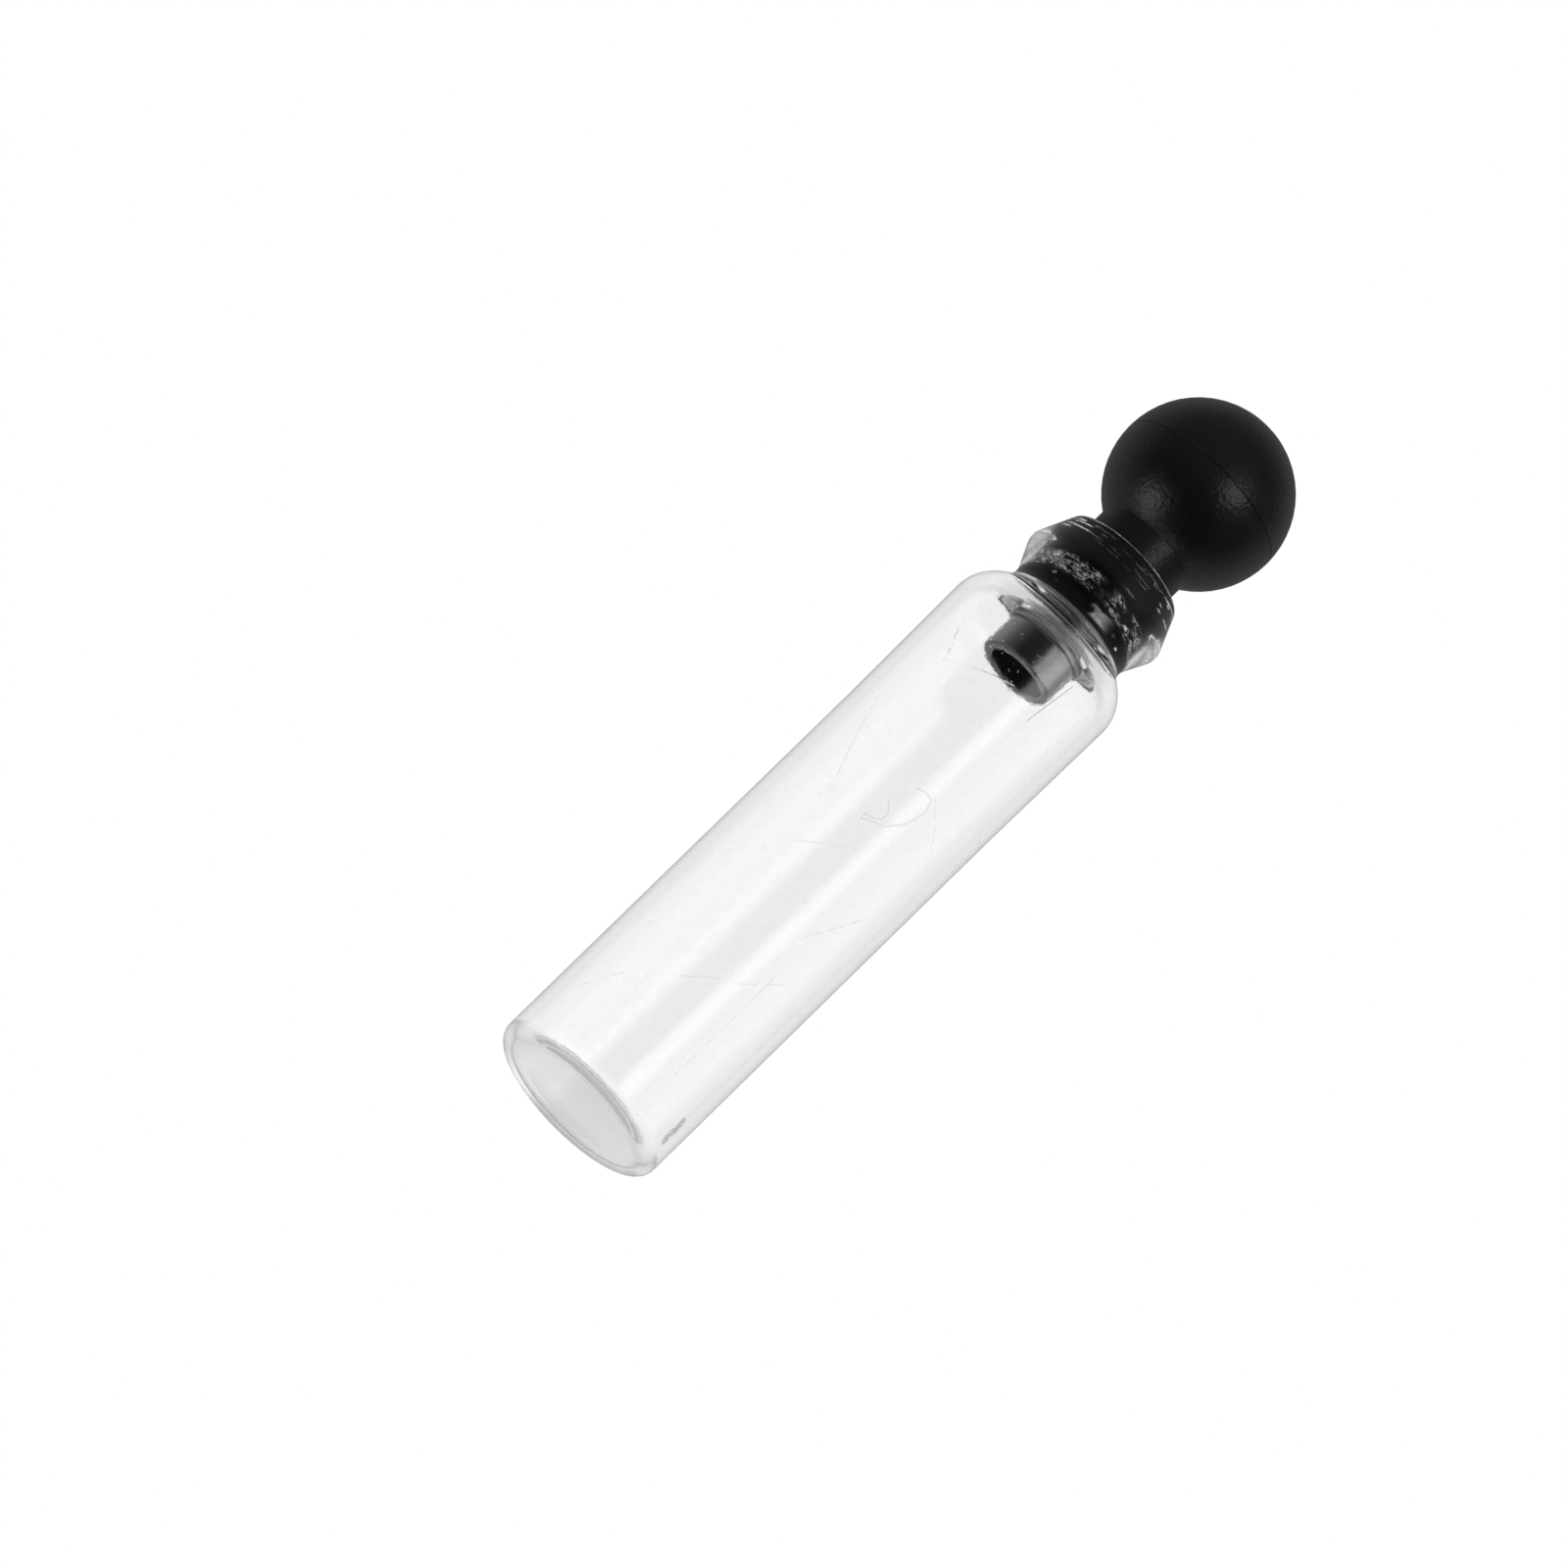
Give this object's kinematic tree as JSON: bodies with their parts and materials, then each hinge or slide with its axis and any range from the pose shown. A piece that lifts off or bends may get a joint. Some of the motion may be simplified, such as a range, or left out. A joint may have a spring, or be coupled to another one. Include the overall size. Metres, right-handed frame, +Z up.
{
  "type": "glass sample vial",
  "caption": "Small clear glass vial with rounded shoulder, bead lip and a black plastic ball stopper that plugs the neck and pulls out.",
  "frame": {"origin": "centre of the base, on the surface that the vial stands on", "axes": "+Z up the vial's axis, from the base to the ball; X and Y are alike"},
  "size_m": [0.0076, 0.0076, 0.038],
  "materials": {
    "clear_glass": "clear formed glass with light scratches",
    "black_plastic": "satin black with a fine grain"
  },
  "bodies": {
    "vial": {"glass_vial": "clear_glass"},
    "stopper": {"ball_stopper": "black_plastic"}
  },
  "joints": [
    {"name": "stopper_pull", "type": "slide", "parent": "vial", "child": "stopper", "axis": [0, 0, 1], "range_m": [0, 0.01]}
  ]
}
